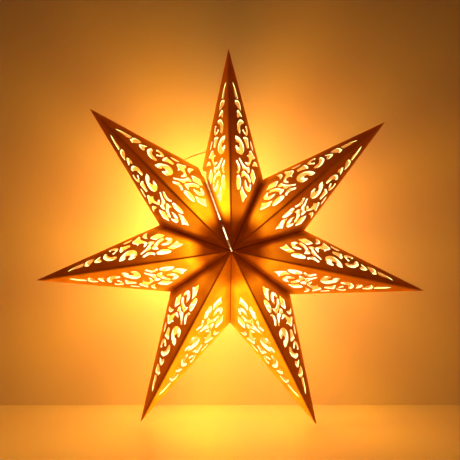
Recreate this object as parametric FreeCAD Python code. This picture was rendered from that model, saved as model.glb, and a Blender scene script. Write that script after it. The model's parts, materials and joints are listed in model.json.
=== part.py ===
import FreeCAD, Part

import math
import os
from dataclasses import dataclass

Vector = FreeCAD.Vector

# A seven-pointed paper star lantern. X is to the right, Y is away from the
# viewer of its front, and Z is up. It is modelled about the star's centre,
# and every node is then moved so that the origin is where the hanging string
# rests on its hook. Sizes are in millimetres, angles in degrees.

# ---- The folded star -------------------------------------------------------
TIP_RADIUS = 300.0      # star's centre to the end of each point
NOTCH_RADIUS = 114.0    # star's centre to the notch between two glued points
APEX_DEPTH = 90.0       # middle plane to the front centre and the back centre
PAPER = 0.4             # thickness of the folded sheets
GLUE_LIP = 10.0         # width of the lips that are turned in along a valley
EYE_RADIUS = 1.25       # pinhole left where the seven sheets meet

# Bearings of the points, clockwise from the seam as seen from the front. Each
# point is a sheet folded and glued by hand, so they are a little uneven.
POINT_BEARINGS = {
    "top_point": 90.8,
    "upper_right_point": 39.3,
    "right_point": -12.6,
    "lower_right_point": -64.3,
    "lower_left_point": -117.5,
    "left_point": -170.5,
    "upper_left_point": -224.5,
}

# ---- The seam that closes the star, and the opening for the lamp's cord ----
SEAM_BEARING = 110.5
SEAM_NOTCH_RADIUS = 126.0
SEAM_GAP = 2.0          # slit that the hook-and-loop tabs leave open
SEAM_LIP_STOP = 22.0    # notch to where the seam's lips stop
SEAM_RIM = 1.0          # width left of them from there to the notch
INNER_TAB = 10.0        # star's centre to the middle of the innermost tabs
MIDDLE_TAB = 40.0       # star's centre to the middle of the next tabs
TAB_LENGTH = 9.0
TAB_MARGIN = 1.0        # bare lip left around a tab
OPENING_LENGTH = 18.0   # notch to the inner end of the cord opening
# Outlines of the corners cut off for it, along the seam from the notch and
# across it: on the top point, then on the upper left point.
TOP_BITE = ((-6.5, -5.0), (-1.0, 0.5))
LEFT_BITE = ((-7.0, 2.9), (3.5, 4.1), (13.5, 4.1))

# ---- The hanging string ----------------------------------------------------
STRING_DIAMETER = 1.5
STRING_DEPTH = 4.0      # how far it lies behind the middle plane
STRING_ROUTE = ((149.0, 29.0), (152.0, 4.5), (149.0, -21.5))  # along, across
STRING_BEND_SHARE = 0.45  # of each straight run that its rounded bend takes up
STRING_HOLE_CLEARANCE = 0.5
STRING_HOLE_LENGTH = 14.0
KNOT_DIAMETER = 4.4
KNOT_LENGTH = 3.5

# ---- The lamp inside -------------------------------------------------------
HOLDER_RADIUS = 14.0
HOLDER_LENGTH = 34.0    # mouth to shoulder
HOLDER_WALL = 2.0
HOLDER_FLOOR = 3.0      # partition between the socket and the wiring space
CAP_TOP_RADIUS = 6.0
CORD_INLET_RADIUS = 4.0
SOCKET_DEPTH = 22.0
SOCKET_CLEARANCE = 0.4
BASE_RADIUS = 7.0       # the bulb's screw base
CONTACT_RADIUS = 4.0
CONTACT_HEIGHT = 1.0
BULB_RADIUS = 22.5
BULB_NECK_RADIUS = 9.5
BULB_NECK_GAP = 1.0     # holder's mouth to the top of the glass neck
BULB_DROP = 26.0        # holder's mouth to the middle of the bulb
BULB_FLARE_START = 30.0 # latitude at which the globe runs into its neck

# ---- The cut-outs ----------------------------------------------------------
# Every panel has the same ornament, mirrored at the ridge. Each outline is in
# per cent of the ridge, from the tip to the star's centre, and in per cent of
# the panel's breadth, from the ridge to the notch.
CUTOUTS = {
    "tip_sliver": ((16, 10.5), (24, 27), (23.5, 17.5)),
    "tip_leaf": ((25, 18), (25.3, 29), (29.5, 35.5), (27.3, 16.5)),
    "comma": ((34, 30), (35, 42.5), (37, 34), (41.5, 30), (38.5, 22)),
    "small_hook": ((36.3, 48), (40, 54.5), (41, 46.5), (39, 38), (39.4, 48)),
    "paisley": ((43.4, 16.5), (44, 30), (48.5, 42.5), (51.9, 28), (48.3, 17), (48.5, 28.5)),
    "wedge": ((43, 40), (42.2, 55), (47.2, 57.5), (47.4, 51.5)),
    "flower": ((48.3, 62), (51.3, 75.5), (52.3, 67), (56.4, 53), (55, 44.5), (53.8, 56.5), (51.3, 50.5)),
    "long_petal": ((53.8, 26), (56, 41), (58, 58), (59.8, 55), (58.6, 36.5)),
    "ridge_leaf": ((55.5, 18), (58.5, 29.5), (61.7, 20.5), (59, 22)),
    "edge_lens": ((57, 67), (61.2, 76.5), (64.8, 69.5), (60.3, 59.5)),
    "crescent": ((60, 36), (60.5, 51), (63.6, 63), (64.5, 56), (62.3, 45), (63.1, 33)),
    "inner_hook": ((63.6, 44), (66.8, 53.5), (65.2, 61), (69, 54), (67.6, 42)),
    "bullet": ((62.8, 19), (63.2, 29), (68.3, 29.5), (69.5, 19)),
    "fishtail": ((67.3, 34), (71.8, 49), (75.4, 36.5), (71, 28)),
}

FAR = 2 * TIP_RADIUS    # long enough to reach past the whole star
PAST_PAPER = 0.5 * PAPER  # how far a cutting shape runs on beyond a sheet
ROOM_STRETCH = 2        # the room in a sheet is drawn this much past its valleys
SEAM_LIP_END = SEAM_NOTCH_RADIUS - SEAM_LIP_STOP
OUTER_TAB = SEAM_LIP_END - TAB_MARGIN - TAB_LENGTH / 2


# ---- Small geometry helpers ------------------------------------------------
def cos_deg(angle):
    return math.cos(math.radians(angle))


def sin_deg(angle):
    return math.sin(math.radians(angle))


def polar(radius, bearing, depth=0.0):
    """Point at a bearing in the star's plane, a depth behind that plane."""
    return Vector(radius * cos_deg(bearing), depth, radius * sin_deg(bearing))


def seam_point(along, across, depth=0.0):
    """Point measured along the seam, and across it to the upper left point."""
    return polar(along, SEAM_BEARING, depth) + polar(across, SEAM_BEARING + 90)


def face_of(corners):
    return Part.Face(Part.makePolygon(list(corners) + [corners[0]]))


def prism(corners, start, end):
    """Flat outline swept from one offset to another along their difference."""
    face = face_of([corner + start for corner in corners])
    return face.extrude(end - start)


def wedge(tip, notches, centres):
    """Closed hollow-star point: four panels and the two valley planes."""
    left, right = notches
    front, back = centres
    corner_sets = [(tip, notch, centre) for notch in notches for centre in centres]
    corner_sets += [(left, front, back), (right, front, back)]
    solid = Part.Solid(Part.Shell([face_of(corners) for corners in corner_sets]))
    if solid.Volume < 0:
        solid.reverse()
    return solid


def between_valleys(left, right, wall):
    """Everything between two valley planes, inset by a wall on both sides."""
    normals = (polar(1, left.bearing - 90), polar(1, right.bearing + 90))
    corner = meet_in_plane(normals, [valley.gap / 2 + wall for valley in (left, right)])
    outline = [corner, corner + polar(FAR, left.bearing), corner + polar(FAR, right.bearing)]
    return prism(outline, Vector(0, -FAR, 0), Vector(0, FAR, 0))


def meet_in_plane(normals, depths):
    """Shift within the star's plane that has a given depth along each normal."""
    first, second = normals
    scale = first.x * second.z - first.z * second.x
    x = (depths[0] * second.z - depths[1] * first.z) / scale
    z = (depths[1] * first.x - depths[0] * second.x) / scale
    return Vector(x, 0, z)


# ---- The paper points ------------------------------------------------------
@dataclass(frozen=True)
class Valley:
    """Plane through the star's centre line in which two sheets meet."""

    bearing: float
    notch_radius: float = NOTCH_RADIUS
    gap: float = 0.0
    lip_end: float = 0.0     # 0 where the lips run on to the notch

    @property
    def notch(self):
        return polar(self.notch_radius, self.bearing)

    def half_depth(self, radius, lip):
        """Half the depth left between a front and a back lip at a radius."""
        slope = math.atan2(APEX_DEPTH, self.notch_radius)
        return APEX_DEPTH * (1 - radius / self.notch_radius) - lip / math.cos(slope)

    def closing_radius(self, lip):
        """Radius at which a front and a back lip of this width meet."""
        return self.notch_radius * self.half_depth(0, lip) / APEX_DEPTH

    def window(self):
        """Opening between the lips, as points of radius and depth."""
        half = [(-EYE_RADIUS, self.half_depth(0, GLUE_LIP)), (0, self.half_depth(0, GLUE_LIP))]
        if self.lip_end:
            half.append((self.lip_end, self.half_depth(self.lip_end, GLUE_LIP)))
            half.append((self.lip_end, self.half_depth(self.lip_end, SEAM_RIM)))
            half.append((self.closing_radius(SEAM_RIM), 0))
        else:
            half.append((self.closing_radius(GLUE_LIP), 0))
        mirrored = [(radius, -depth) for radius, depth in half[-2::-1]]
        return [polar(radius, self.bearing, depth) for radius, depth in half + mirrored]


SEAM = Valley(SEAM_BEARING, SEAM_NOTCH_RADIUS, SEAM_GAP, SEAM_LIP_END)


def panel_cutouts(tip, notch, centre):
    """Prisms that cut the ornament through one panel."""
    ridge = centre - tip
    foot = tip + ridge * ((notch - tip).dot(ridge) / ridge.dot(ridge))
    breadth = notch - foot
    reach = ridge.cross(breadth).normalize() * (PAPER + PAST_PAPER)
    prisms = []
    for outline in CUTOUTS.values():
        corners = [tip + ridge * (along / 100) + breadth * (across / 100) for along, across in outline]
        prisms.append(prism(corners, -reach, reach))
    return prisms


def lip_window(valley, inward):
    """Prism that opens the wall of a sheet between its two lips."""
    return prism(valley.window(), -inward, inward * (valley.gap / 2 + PAPER + PAST_PAPER))


def paper_point(bearing, left, right):
    """One folded sheet: four panels, lips turned in and the cut-outs."""
    tip = polar(TIP_RADIUS, bearing)
    notches = (left.notch, right.notch)
    centres = (Vector(0, -APEX_DEPTH, 0), Vector(0, APEX_DEPTH, 0))
    outer = wedge(tip, notches, centres).common(between_valleys(left, right, 0))

    inward = []
    for notch in notches:
        normal = (notch - tip).cross(centres[0] - tip).normalize()
        inward.append(normal if normal.dot(tip) < 0 else -normal)
    inner_tip = tip + meet_in_plane(inward, (PAPER, PAPER))
    room = wedge(
        inner_tip,
        [inner_tip + (notch - tip) * ROOM_STRETCH for notch in notches],
        [inner_tip + (centre - tip) * ROOM_STRETCH for centre in centres],
    )
    sheet = outer.cut(room.common(between_valleys(left, right, PAPER)))

    sheet = sheet.cut(lip_window(left, polar(1, left.bearing - 90)))
    sheet = sheet.cut(lip_window(right, polar(1, right.bearing + 90)))
    sheet = sheet.cut(Part.makeCylinder(EYE_RADIUS, FAR, Vector(0, -FAR / 2, 0), Vector(0, 1, 0)))
    cutouts = [cut for notch in notches for centre in centres for cut in panel_cutouts(tip, notch, centre)]
    return sheet.cut(Part.makeCompound(cutouts))


def paper_points():
    """The seven sheets, by name, clockwise from the seam."""
    bearings = list(POINT_BEARINGS.values())
    valleys = [SEAM]
    valleys += [Valley((first + second) / 2) for first, second in zip(bearings, bearings[1:])]
    valleys.append(SEAM)
    return {
        name: paper_point(bearing, left, right)
        for (name, bearing), left, right in zip(POINT_BEARINGS.items(), valleys, valleys[1:])
    }


def cord_opening_cut(bite, far_across):
    """Prism that trims the corner of a sheet beside the seam's notch."""
    outline = [(-OPENING_LENGTH, far_across), (-OPENING_LENGTH, 0), *bite, (bite[-1][0], far_across)]
    corners = [seam_point(SEAM_NOTCH_RADIUS + along, across) for along, across in outline]
    reach = Vector(0, APEX_DEPTH / 2, 0)
    return prism(corners, -reach, reach)


# ---- Hook-and-loop tabs on the seam's lips ---------------------------------
def seam_tabs(side):
    """Six tabs on one side of the seam: side is 1 on the upper left point."""
    slope = math.degrees(math.atan2(APEX_DEPTH, SEAM_NOTCH_RADIUS))
    width = GLUE_LIP - 2 * TAB_MARGIN
    tabs = []
    for radius in (INNER_TAB, MIDDLE_TAB, OUTER_TAB):
        for face in (-1, 1):
            tab = Part.makeBox(TAB_LENGTH, width, SEAM_GAP / 2, Vector(-TAB_LENGTH / 2, -width / 2, 0))
            run = polar(cos_deg(slope), SEAM_BEARING, -face * sin_deg(slope))
            out = polar(side, SEAM_BEARING + 90)
            middle = polar(radius, SEAM_BEARING, face * SEAM.half_depth(radius, GLUE_LIP / 2))
            tab.Placement = FreeCAD.Placement(middle, FreeCAD.Rotation(run, out.cross(run), out, "XZY"))
            tabs.append(tab)
    return Part.makeCompound(tabs)


# ---- The hanging string ----------------------------------------------------
def rounded_path(points):
    """Straight runs joined by tangent arcs, and the radius of each arc."""
    edges, radii = [], []
    start = points[0]
    for before, corner, after in zip(points, points[1:], points[2:]):
        back, ahead = before - corner, after - corner
        turn = math.pi - back.getAngle(ahead)
        tangent = STRING_BEND_SHARE * min(back.Length, ahead.Length)
        radius = tangent / math.tan(turn / 2)
        first = corner + back.normalize() * tangent
        last = corner + ahead.normalize() * tangent
        inward = (back + ahead).normalize()
        crown = corner + inward * (radius / math.cos(turn / 2) - radius)
        edges.append(Part.LineSegment(start, first).toShape())
        edges.append(Part.Arc(first, crown, last).toShape())
        radii.append(radius)
        start = last
    edges.append(Part.LineSegment(start, points[-1]).toShape())
    return Part.Wire(edges), radii, crown


def string_points():
    return [seam_point(along, across, STRING_DEPTH) for along, across in STRING_ROUTE]


def hanging_string():
    """The string's tube, and the place where the hook bears on it."""
    points = string_points()
    path, radii, crown = rounded_path(points)
    ring = Part.makeCircle(STRING_DIAMETER / 2, points[0], points[1] - points[0])
    tube = path.makePipeShell([Part.Wire(ring)], True, True)
    expected = math.pi * STRING_DIAMETER ** 2 / 4 * path.Length
    print(f"string: length {path.Length:.1f}, radii {[round(r, 1) for r in radii]}, "
          f"volume {tube.Volume:.2f} of {expected:.2f}")
    inward = ((points[0] - points[1]).normalize() + (points[2] - points[1]).normalize()).normalize()
    return tube, crown + inward * (STRING_DIAMETER / 2)


def string_ends():
    """Each end of the string, with the direction in which it leaves the sheet."""
    points = string_points()
    return [(points[0], (points[0] - points[1]).normalize()), (points[2], (points[2] - points[1]).normalize())]


def string_knots():
    """A stopper knot at each end, inside the paper."""
    return Part.makeCompound(
        [Part.makeCylinder(KNOT_DIAMETER / 2, KNOT_LENGTH, end, outward) for end, outward in string_ends()]
    )


def string_hole(end, outward):
    radius = STRING_DIAMETER / 2 + STRING_HOLE_CLEARANCE
    return Part.makeCylinder(radius, STRING_HOLE_LENGTH, end - outward * STRING_HOLE_LENGTH, outward)


# ---- The lamp, on the seam's line with its top against the seam's lips -----
def on_seam_line(shape):
    """Turn a shape modelled on +Z so that Z runs out along the seam."""
    shape.rotate(Vector(), Vector(0, 1, 0), 90 - SEAM_BEARING)
    return shape


def turned(radius, low, high):
    return Part.makeCylinder(radius, high - low, Vector(0, 0, low))


def seat_radius(half_depth):
    """Distance from the centre at which the lips leave this half depth."""
    return SEAM_NOTCH_RADIUS * (1 - (half_depth + APEX_DEPTH - SEAM.half_depth(0, GLUE_LIP)) / APEX_DEPTH)


HOLDER_SHOULDER = seat_radius(HOLDER_RADIUS)
HOLDER_TOP = seat_radius(CAP_TOP_RADIUS)
HOLDER_MOUTH = HOLDER_SHOULDER - HOLDER_LENGTH
SOCKET_TOP = HOLDER_MOUTH + SOCKET_DEPTH


def lamp_holder_body():
    """Sleeve with the bulb's socket below a floor and room for wires above."""
    body = turned(HOLDER_RADIUS, HOLDER_MOUTH, HOLDER_SHOULDER)
    socket = turned(BASE_RADIUS + SOCKET_CLEARANCE, HOLDER_MOUTH, SOCKET_TOP)
    wiring = turned(HOLDER_RADIUS - HOLDER_WALL, SOCKET_TOP + HOLDER_FLOOR, HOLDER_SHOULDER)
    return on_seam_line(body.cut(socket).cut(wiring))


def lamp_holder_cap():
    """Hollow cone over the wires, with the cord's inlet in its top."""
    height = HOLDER_TOP - HOLDER_SHOULDER
    cap = Part.makeCone(HOLDER_RADIUS, CAP_TOP_RADIUS, height, Vector(0, 0, HOLDER_SHOULDER))
    inner_height = height - HOLDER_WALL
    hollow = Part.makeCone(
        HOLDER_RADIUS - HOLDER_WALL, CORD_INLET_RADIUS, inner_height, Vector(0, 0, HOLDER_SHOULDER)
    )
    inlet = turned(CORD_INLET_RADIUS, HOLDER_SHOULDER + inner_height, HOLDER_TOP)
    return on_seam_line(cap.cut(hollow).cut(inlet))


def lamp_contact():
    return on_seam_line(turned(CONTACT_RADIUS, SOCKET_TOP - CONTACT_HEIGHT, SOCKET_TOP))


def light_bulb():
    """Sealed bulb: screw base, neck and globe in one."""
    middle = HOLDER_MOUTH - BULB_DROP
    shoulder = middle + BULB_RADIUS * sin_deg(BULB_FLARE_START)
    neck_top = HOLDER_MOUTH - BULB_NECK_GAP
    globe = Part.makeSphere(BULB_RADIUS, Vector(0, 0, middle))
    flare = Part.makeCone(
        BULB_RADIUS * cos_deg(BULB_FLARE_START), BULB_NECK_RADIUS, neck_top - shoulder, Vector(0, 0, shoulder)
    )
    base = turned(BASE_RADIUS, neck_top, SOCKET_TOP - CONTACT_HEIGHT)
    return on_seam_line(globe.fuse(flare).fuse(base).removeSplitter())


# ---- Everything together ---------------------------------------------------
def build():
    """Every node's shape about the star's centre, and the hanging place."""
    nodes = paper_points()
    nodes["top_point"] = nodes["top_point"].cut(cord_opening_cut(TOP_BITE, SEAM_GAP))
    nodes["upper_left_point"] = nodes["upper_left_point"].cut(cord_opening_cut(LEFT_BITE, -SEAM_GAP))
    for name, (end, outward) in zip(("upper_left_point", "top_point"), string_ends()):
        nodes[name] = nodes[name].cut(string_hole(end, outward))
    nodes["hook_tabs"] = seam_tabs(1)
    nodes["loop_tabs"] = seam_tabs(-1)
    nodes["hanging_string"], hook = hanging_string()
    nodes["string_knots"] = string_knots()
    nodes["lamp_holder_cap"] = lamp_holder_cap()
    nodes["lamp_holder_body"] = lamp_holder_body()
    nodes["lamp_contact"] = lamp_contact()
    nodes["light_bulb"] = light_bulb()
    return nodes, hook


def main():
    os.makedirs("parts", exist_ok=True)
    nodes, hook = build()
    print(f"hook: {hook}")
    for name, shape in nodes.items():
        shape.translate(-hook)
        shape.exportStep(f"parts/{name}.step")
        print(f"{name}: {len(shape.Solids)} solid(s), {shape.Volume:.1f} mm3, valid {shape.isValid()}")


main()
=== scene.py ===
"""Paper star lantern: its looks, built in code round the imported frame.

Seven folded paper points with cut ornament are glued into a ring that is
closed by hook-and-loop tabs. A lamp hangs inside, and a short string carries
it all. Pieces are modelled in millimetres about the star's centre, and are
then laid into the row frame, in metres.
"""

from __future__ import annotations

import json
import logging
import math
from dataclasses import dataclass, field
from enum import Enum

import bpy
from bpy.types import ID, Material, Mesh, Node, NodeSocket, NodeTree, Object
from mathutils import Matrix, Vector

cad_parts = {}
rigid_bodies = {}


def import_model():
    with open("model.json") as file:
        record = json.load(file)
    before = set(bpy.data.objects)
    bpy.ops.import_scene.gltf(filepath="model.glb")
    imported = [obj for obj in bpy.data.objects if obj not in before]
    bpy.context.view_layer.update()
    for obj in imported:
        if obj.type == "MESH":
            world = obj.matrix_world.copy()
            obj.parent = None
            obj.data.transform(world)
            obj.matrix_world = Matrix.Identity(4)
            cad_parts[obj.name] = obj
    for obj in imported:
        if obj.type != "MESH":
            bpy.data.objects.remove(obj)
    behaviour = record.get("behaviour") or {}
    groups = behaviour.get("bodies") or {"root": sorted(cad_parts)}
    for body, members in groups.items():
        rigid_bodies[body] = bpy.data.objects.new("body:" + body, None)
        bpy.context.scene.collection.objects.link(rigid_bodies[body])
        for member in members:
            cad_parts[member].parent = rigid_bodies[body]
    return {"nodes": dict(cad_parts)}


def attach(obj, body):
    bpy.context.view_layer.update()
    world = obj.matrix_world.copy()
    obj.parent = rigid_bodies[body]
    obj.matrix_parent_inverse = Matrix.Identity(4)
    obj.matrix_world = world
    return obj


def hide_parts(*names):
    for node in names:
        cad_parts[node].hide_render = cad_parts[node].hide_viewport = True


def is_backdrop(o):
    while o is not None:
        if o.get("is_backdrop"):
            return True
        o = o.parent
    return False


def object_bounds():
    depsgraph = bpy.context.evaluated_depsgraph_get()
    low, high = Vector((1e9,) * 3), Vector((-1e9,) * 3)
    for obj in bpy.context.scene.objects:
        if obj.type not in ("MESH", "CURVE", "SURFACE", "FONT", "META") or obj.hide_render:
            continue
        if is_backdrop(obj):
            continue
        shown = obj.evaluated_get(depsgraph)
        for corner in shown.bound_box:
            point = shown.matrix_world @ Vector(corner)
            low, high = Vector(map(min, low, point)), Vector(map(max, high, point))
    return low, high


log = logging.getLogger("paper_star_lantern")

MM = 0.001
BODY = "root"

Pair = tuple[float, float]
Spot = tuple[float, float, float]
Colour = tuple[float, float, float, float]
# A route is a line's points, each with a direction across the line.
Route = list[tuple[Vector, Vector]]


# ---- The star's sizes ------------------------------------------------------
def polar(radius: float, bearing: float, depth: float = 0.0) -> Vector:
    """Point at a bearing in the star's plane, a depth behind that plane."""
    angle = math.radians(bearing)
    return Vector((radius * math.cos(angle), depth, radius * math.sin(angle)))


@dataclass(frozen=True)
class StarShape:
    """Driving sizes of the folded star, in millimetres and degrees."""

    centre: Spot = (56.9488, -4.0, -139.4810)
    tip_radius: float = 300.0
    notch_radius: float = 114.0
    apex_depth: float = 90.0
    paper: float = 0.4
    glue_lip: float = 10.0
    eye_radius: float = 1.25
    seam_bearing: float = 110.5
    seam_notch_radius: float = 126.0
    seam_gap: float = 2.0
    seam_lip_end: float = 104.0
    seam_rim: float = 1.0
    opening_length: float = 18.0
    bearings: dict[str, float] = field(
        default_factory=lambda: {
            "top_point": 90.8,
            "upper_right_point": 39.3,
            "right_point": -12.6,
            "lower_right_point": -64.3,
            "lower_left_point": -117.5,
            "left_point": -170.5,
            "upper_left_point": -224.5,
        }
    )

    def seam_point(self, along: float, across: float, depth: float = 0.0) -> Vector:
        """Point along the seam, and across it to the upper left point."""
        return polar(along, self.seam_bearing, depth) + polar(across, self.seam_bearing + 90)

    def to_row(self) -> Matrix:
        """Matrix from millimetres about the star's centre to the row frame."""
        return Matrix.Scale(MM, 4) @ Matrix.Translation(self.centre)

    def middle(self) -> Spot:
        """The star's centre in the row frame."""
        return tuple(self.to_row() @ Vector())

    def opening(self) -> Spot:
        """The opening for the cord, at the seam's notch, in the row frame."""
        return tuple(self.to_row() @ polar(self.seam_notch_radius, self.seam_bearing))

    def on_seam_line(self) -> Matrix:
        """Matrix that turns +Z out along the seam."""
        return Matrix.Rotation(math.radians(90 - self.seam_bearing), 4, "Y")


STAR = StarShape()
BACKWARD = Vector((0.0, 1.0, 0.0))


# ---- The cut ornament ------------------------------------------------------
class Turn(Enum):
    """How an outline runs through one of its knots."""

    BEND = "AUTO"
    CORNER = "VECTOR"


@dataclass(frozen=True)
class Knot:
    """Knot of an outline, in per cent of the ridge and of the breadth."""

    along: float
    across: float
    turn: Turn = Turn.BEND


def bend(along: float, across: float) -> Knot:
    """Knot through which the outline runs smoothly."""
    return Knot(along, across)


def corner(along: float, across: float) -> Knot:
    """Knot at which the outline turns sharply."""
    return Knot(along, across, Turn.CORNER)


ORNAMENT: dict[str, tuple[Knot, ...]] = {
    "tip_sliver": (corner(16.2, 10.6), bend(18.4, 17.4), bend(21.4, 23.0), corner(24.0, 27.0),
                   bend(23.7, 18.0), bend(20.2, 14.3)),
    "tip_leaf": (corner(25.1, 18.0), bend(25.1, 28.6), bend(27.0, 33.6), corner(29.5, 35.2),
                 bend(28.6, 25.2), corner(27.2, 16.6)),
    "small_leaf": (bend(30.2, 24.0), bend(30.9, 33.3), corner(32.6, 38.5), bend(32.6, 30.7),
                   bend(33.8, 24.0), bend(32.2, 22.2)),
    "comma": (bend(34.1, 33.8), corner(34.4, 42.4), corner(35.8, 42.0), bend(36.7, 35.2),
              bend(38.6, 31.7), bend(40.7, 31.9), bend(41.6, 29.0), bend(40.6, 24.2),
              bend(38.4, 22.4), bend(36.0, 25.5)),
    "small_hook": (bend(36.3, 49.2), bend(37.7, 53.6), bend(39.7, 54.6), bend(41.1, 52.0),
                   bend(40.9, 45.4), corner(39.4, 37.8), bend(38.6, 40.7), bend(39.7, 48.0),
                   bend(38.4, 49.0), corner(37.2, 46.6)),
    "paisley": (corner(43.4, 16.7), bend(43.6, 28.0), bend(45.1, 36.7), bend(47.1, 41.8),
                bend(48.5, 42.7), bend(50.4, 40.2), bend(51.9, 33.0), bend(51.8, 24.6),
                bend(50.7, 18.2), bend(48.8, 17.0), bend(48.1, 19.4), bend(48.6, 23.4),
                bend(48.4, 28.2), bend(47.4, 29.0), bend(46.5, 21.2), corner(45.2, 17.0)),
    "wedge": (corner(43.0, 39.8), bend(42.2, 45.2), corner(42.2, 55.1), corner(47.0, 57.4),
              corner(47.5, 51.6), bend(44.6, 45.0)),
    "edge_sliver": (corner(42.9, 62.6), bend(45.3, 68.0), corner(47.7, 71.3), bend(47.1, 66.5),
                    corner(44.5, 61.5)),
    "flower": (bend(48.7, 58.8), bend(48.2, 65.2), bend(49.4, 69.4), corner(50.9, 76.0),
               bend(51.6, 74.0), bend(52.2, 67.0), bend(54.0, 62.5), bend(56.2, 56.6),
               bend(56.2, 50.8), corner(55.2, 44.3), bend(54.7, 47.8), bend(54.5, 55.0),
               bend(53.3, 57.0), corner(51.4, 50.6), bend(50.3, 56.2)),
    "arch": (bend(53.0, 74.5), bend(53.5, 80.5), corner(54.9, 84.0), bend(55.0, 75.0),
             corner(55.8, 67.0), bend(54.2, 69.2)),
    "long_petal": (corner(53.6, 28.3), bend(54.8, 33.5), bend(56.3, 41.0), bend(57.2, 51.0),
                   bend(58.0, 58.0), bend(59.8, 55.4), bend(58.6, 46.2), bend(58.7, 36.5),
                   bend(56.5, 32.5), corner(54.6, 26.0)),
    "ridge_leaf": (bend(55.5, 19.0), bend(56.6, 25.7), bend(58.4, 29.7), bend(60.2, 28.0),
                   bend(61.8, 22.8), corner(61.5, 19.0), bend(59.4, 22.7), bend(57.8, 21.0),
                   corner(56.5, 17.4)),
    "edge_lens": (corner(57.1, 66.8), bend(58.0, 71.4), corner(61.1, 76.5), corner(64.8, 69.3),
                  bend(63.5, 65.0), corner(60.3, 59.7)),
    "crescent": (bend(59.9, 36.0), bend(60.0, 46.0), bend(61.2, 56.0), corner(63.5, 62.8),
                 bend(64.6, 59.5), bend(64.4, 55.6), bend(62.9, 51.0), bend(62.2, 45.0),
                 bend(62.1, 39.6), corner(63.2, 33.0), bend(61.6, 34.0)),
    "inner_hook": (corner(63.6, 44.8), bend(65.2, 48.0), bend(66.8, 51.4), bend(66.7, 55.3),
                   bend(65.2, 58.6), corner(65.5, 62.5), bend(67.8, 59.8), bend(69.0, 55.0),
                   bend(68.8, 46.5), bend(67.2, 42.0), bend(65.2, 42.0)),
    "bullet": (bend(62.7, 22.0), bend(63.0, 28.8), bend(65.1, 31.4), bend(67.4, 30.2),
               bend(69.4, 25.8), bend(69.5, 19.8), bend(67.6, 18.0), bend(63.8, 19.0)),
    "fishtail": (corner(67.3, 34.4), bend(68.7, 37.3), bend(70.2, 41.7), corner(71.7, 49.0),
                 bend(73.2, 42.2), corner(75.4, 36.5), bend(73.6, 32.2), corner(70.6, 28.0)),
}


# ---- Node trees ------------------------------------------------------------
# Nearly all of a noise's values lie in this span.
NOISE_SPAN = (0.3, 0.7)


class Graph:
    """Adds and wires the nodes of one tree."""

    def __init__(self, tree: NodeTree) -> None:
        """Work on a tree."""
        self.tree = tree

    def add(self, kind: str, inputs: dict | None = None, **settings) -> Node:
        """Add a node.

        Args:
            kind: class name of the node.
            inputs: values or output sockets, by the input's name or index.
            settings: properties of the node.

        Returns:
            The new node.
        """
        node = self.tree.nodes.new(kind)
        for name, value in settings.items():
            setattr(node, name, value)
        for name, value in (inputs or {}).items():
            self.feed(node.inputs[name], value)
        return node

    def feed(self, socket: NodeSocket, value: object) -> None:
        """Link a socket to an output, or set its value.

        Args:
            socket: the input socket.
            value: an output socket, or the value.
        """
        if isinstance(value, NodeSocket):
            self.tree.links.new(value, socket)
        else:
            socket.default_value = value

    def math(self, operation: str, *values: object) -> NodeSocket:
        """Result of a Math node."""
        kind = "ShaderNodeMath"
        return self.add(kind, dict(enumerate(values)), operation=operation).outputs[0]

    def vector(self, operation: str, *values: object) -> NodeSocket:
        """Add a Vector Math node.

        Args:
            operation: name of the operation.
            values: values or output sockets; to scale, the second is a number.

        Returns:
            The node's vector, or its number where it measures a length.
        """
        node = self.add("ShaderNodeVectorMath", operation=operation)
        for place, value in enumerate(values):
            self.feed(node.inputs["Scale" if operation == "SCALE" and place else place], value)
        return node.outputs["Value" if operation == "LENGTH" else "Vector"]

    def ramp(
        self, value: object, low: object, high: object, start: object = 0.0, end: object = 1.0
    ) -> NodeSocket:
        """Smooth step from start to end while a value runs from low to high."""
        inputs = {"Value": value, "From Min": low, "From Max": high, "To Min": start, "To Max": end}
        return self.add("ShaderNodeMapRange", inputs, interpolation_type="SMOOTHSTEP").outputs["Result"]

    def tone(self, noise: NodeSocket, low: float, high: float) -> NodeSocket:
        """Tone between low and high that follows a noise."""
        return self.ramp(noise, *NOISE_SPAN, low, high)

    def mix(self, factor: object, first: object, second: object) -> NodeSocket:
        """Colour mixed from two others."""
        inputs = {0: factor, 6: first, 7: second}
        return self.add("ShaderNodeMix", inputs, data_type="RGBA").outputs[2]


def new_tree(
    name: str, kind: str, inputs: dict[str, tuple[str, object]], outputs: dict[str, str]
) -> tuple[NodeTree, Graph, dict[str, NodeSocket], Node]:
    """Make a node group with named sockets.

    Args:
        name: name of the group.
        kind: class name of the tree.
        inputs: socket type and default value, by the input's name.
        outputs: socket type, by the output's name.

    Returns:
        The group, its graph, its input sockets by name and its output node.
    """
    tree = bpy.data.node_groups.new(name, kind)
    for label, (socket_type, value) in inputs.items():
        socket = tree.interface.new_socket(label, in_out="INPUT", socket_type=socket_type)
        if value is not None:
            socket.default_value = value
    for label, socket_type in outputs.items():
        tree.interface.new_socket(label, in_out="OUTPUT", socket_type=socket_type)
    graph = Graph(tree)
    given = graph.add("NodeGroupInput").outputs
    return tree, graph, given, graph.add("NodeGroupOutput")


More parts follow.
